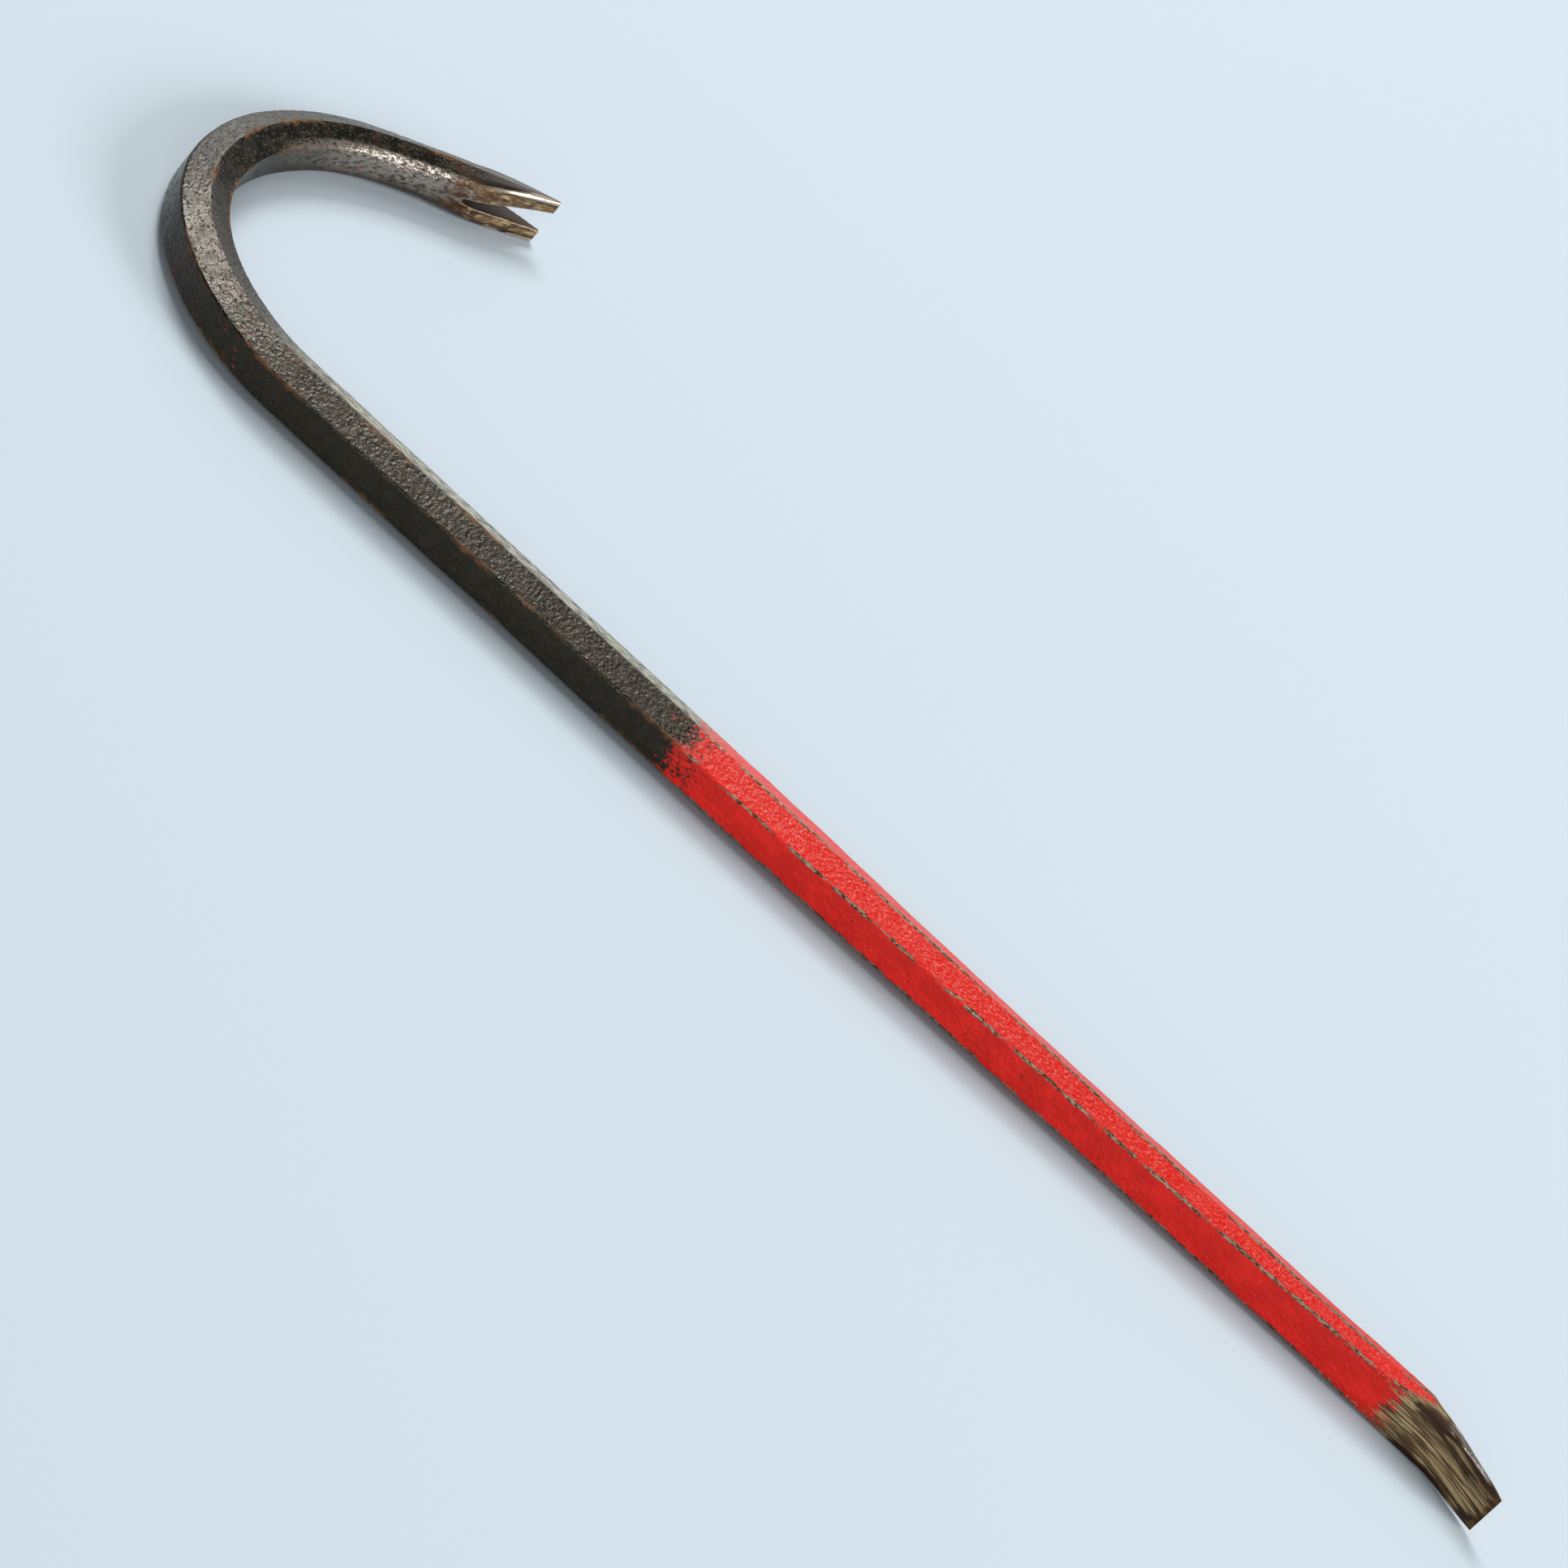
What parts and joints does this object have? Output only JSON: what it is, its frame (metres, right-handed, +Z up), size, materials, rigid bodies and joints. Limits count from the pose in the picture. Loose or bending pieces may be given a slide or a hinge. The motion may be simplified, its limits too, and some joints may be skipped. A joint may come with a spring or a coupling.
{
  "type": "pry bar",
  "caption": "Forged gooseneck pry bar: slotted nail claw on a curled hook, flattened hexagonal shank, offset chisel blade; black hook, red shank, bare ground ends.",
  "frame": {"origin": "middle of the bar's bounding box, on the surface it lies on", "axes": "+X along the shank towards the chisel, +Y to the side the hook curls to, +Z up across the bar, which lies on its side"},
  "size_m": [0.598, 0.2028, 0.0196],
  "materials": {
    "nail_claw": "ground bare steel, brown rust stain, polished claw root",
    "gooseneck": "black forge lacquer, pitted, semi-gloss, rusty corners",
    "upper_shank": "black forge lacquer, pitted, semi-gloss, rusty corners",
    "lower_shank": "red enamel, orange-peel, chipped along the corners",
    "chisel_end": "ground bare steel, long grind marks, rust at the edge"
  },
  "bodies": {
    "root": {"nail_claw": "nail_claw", "gooseneck": "gooseneck", "upper_shank": "upper_shank", "lower_shank": "lower_shank", "chisel_end": "chisel_end"}
  },
  "joints": []
}
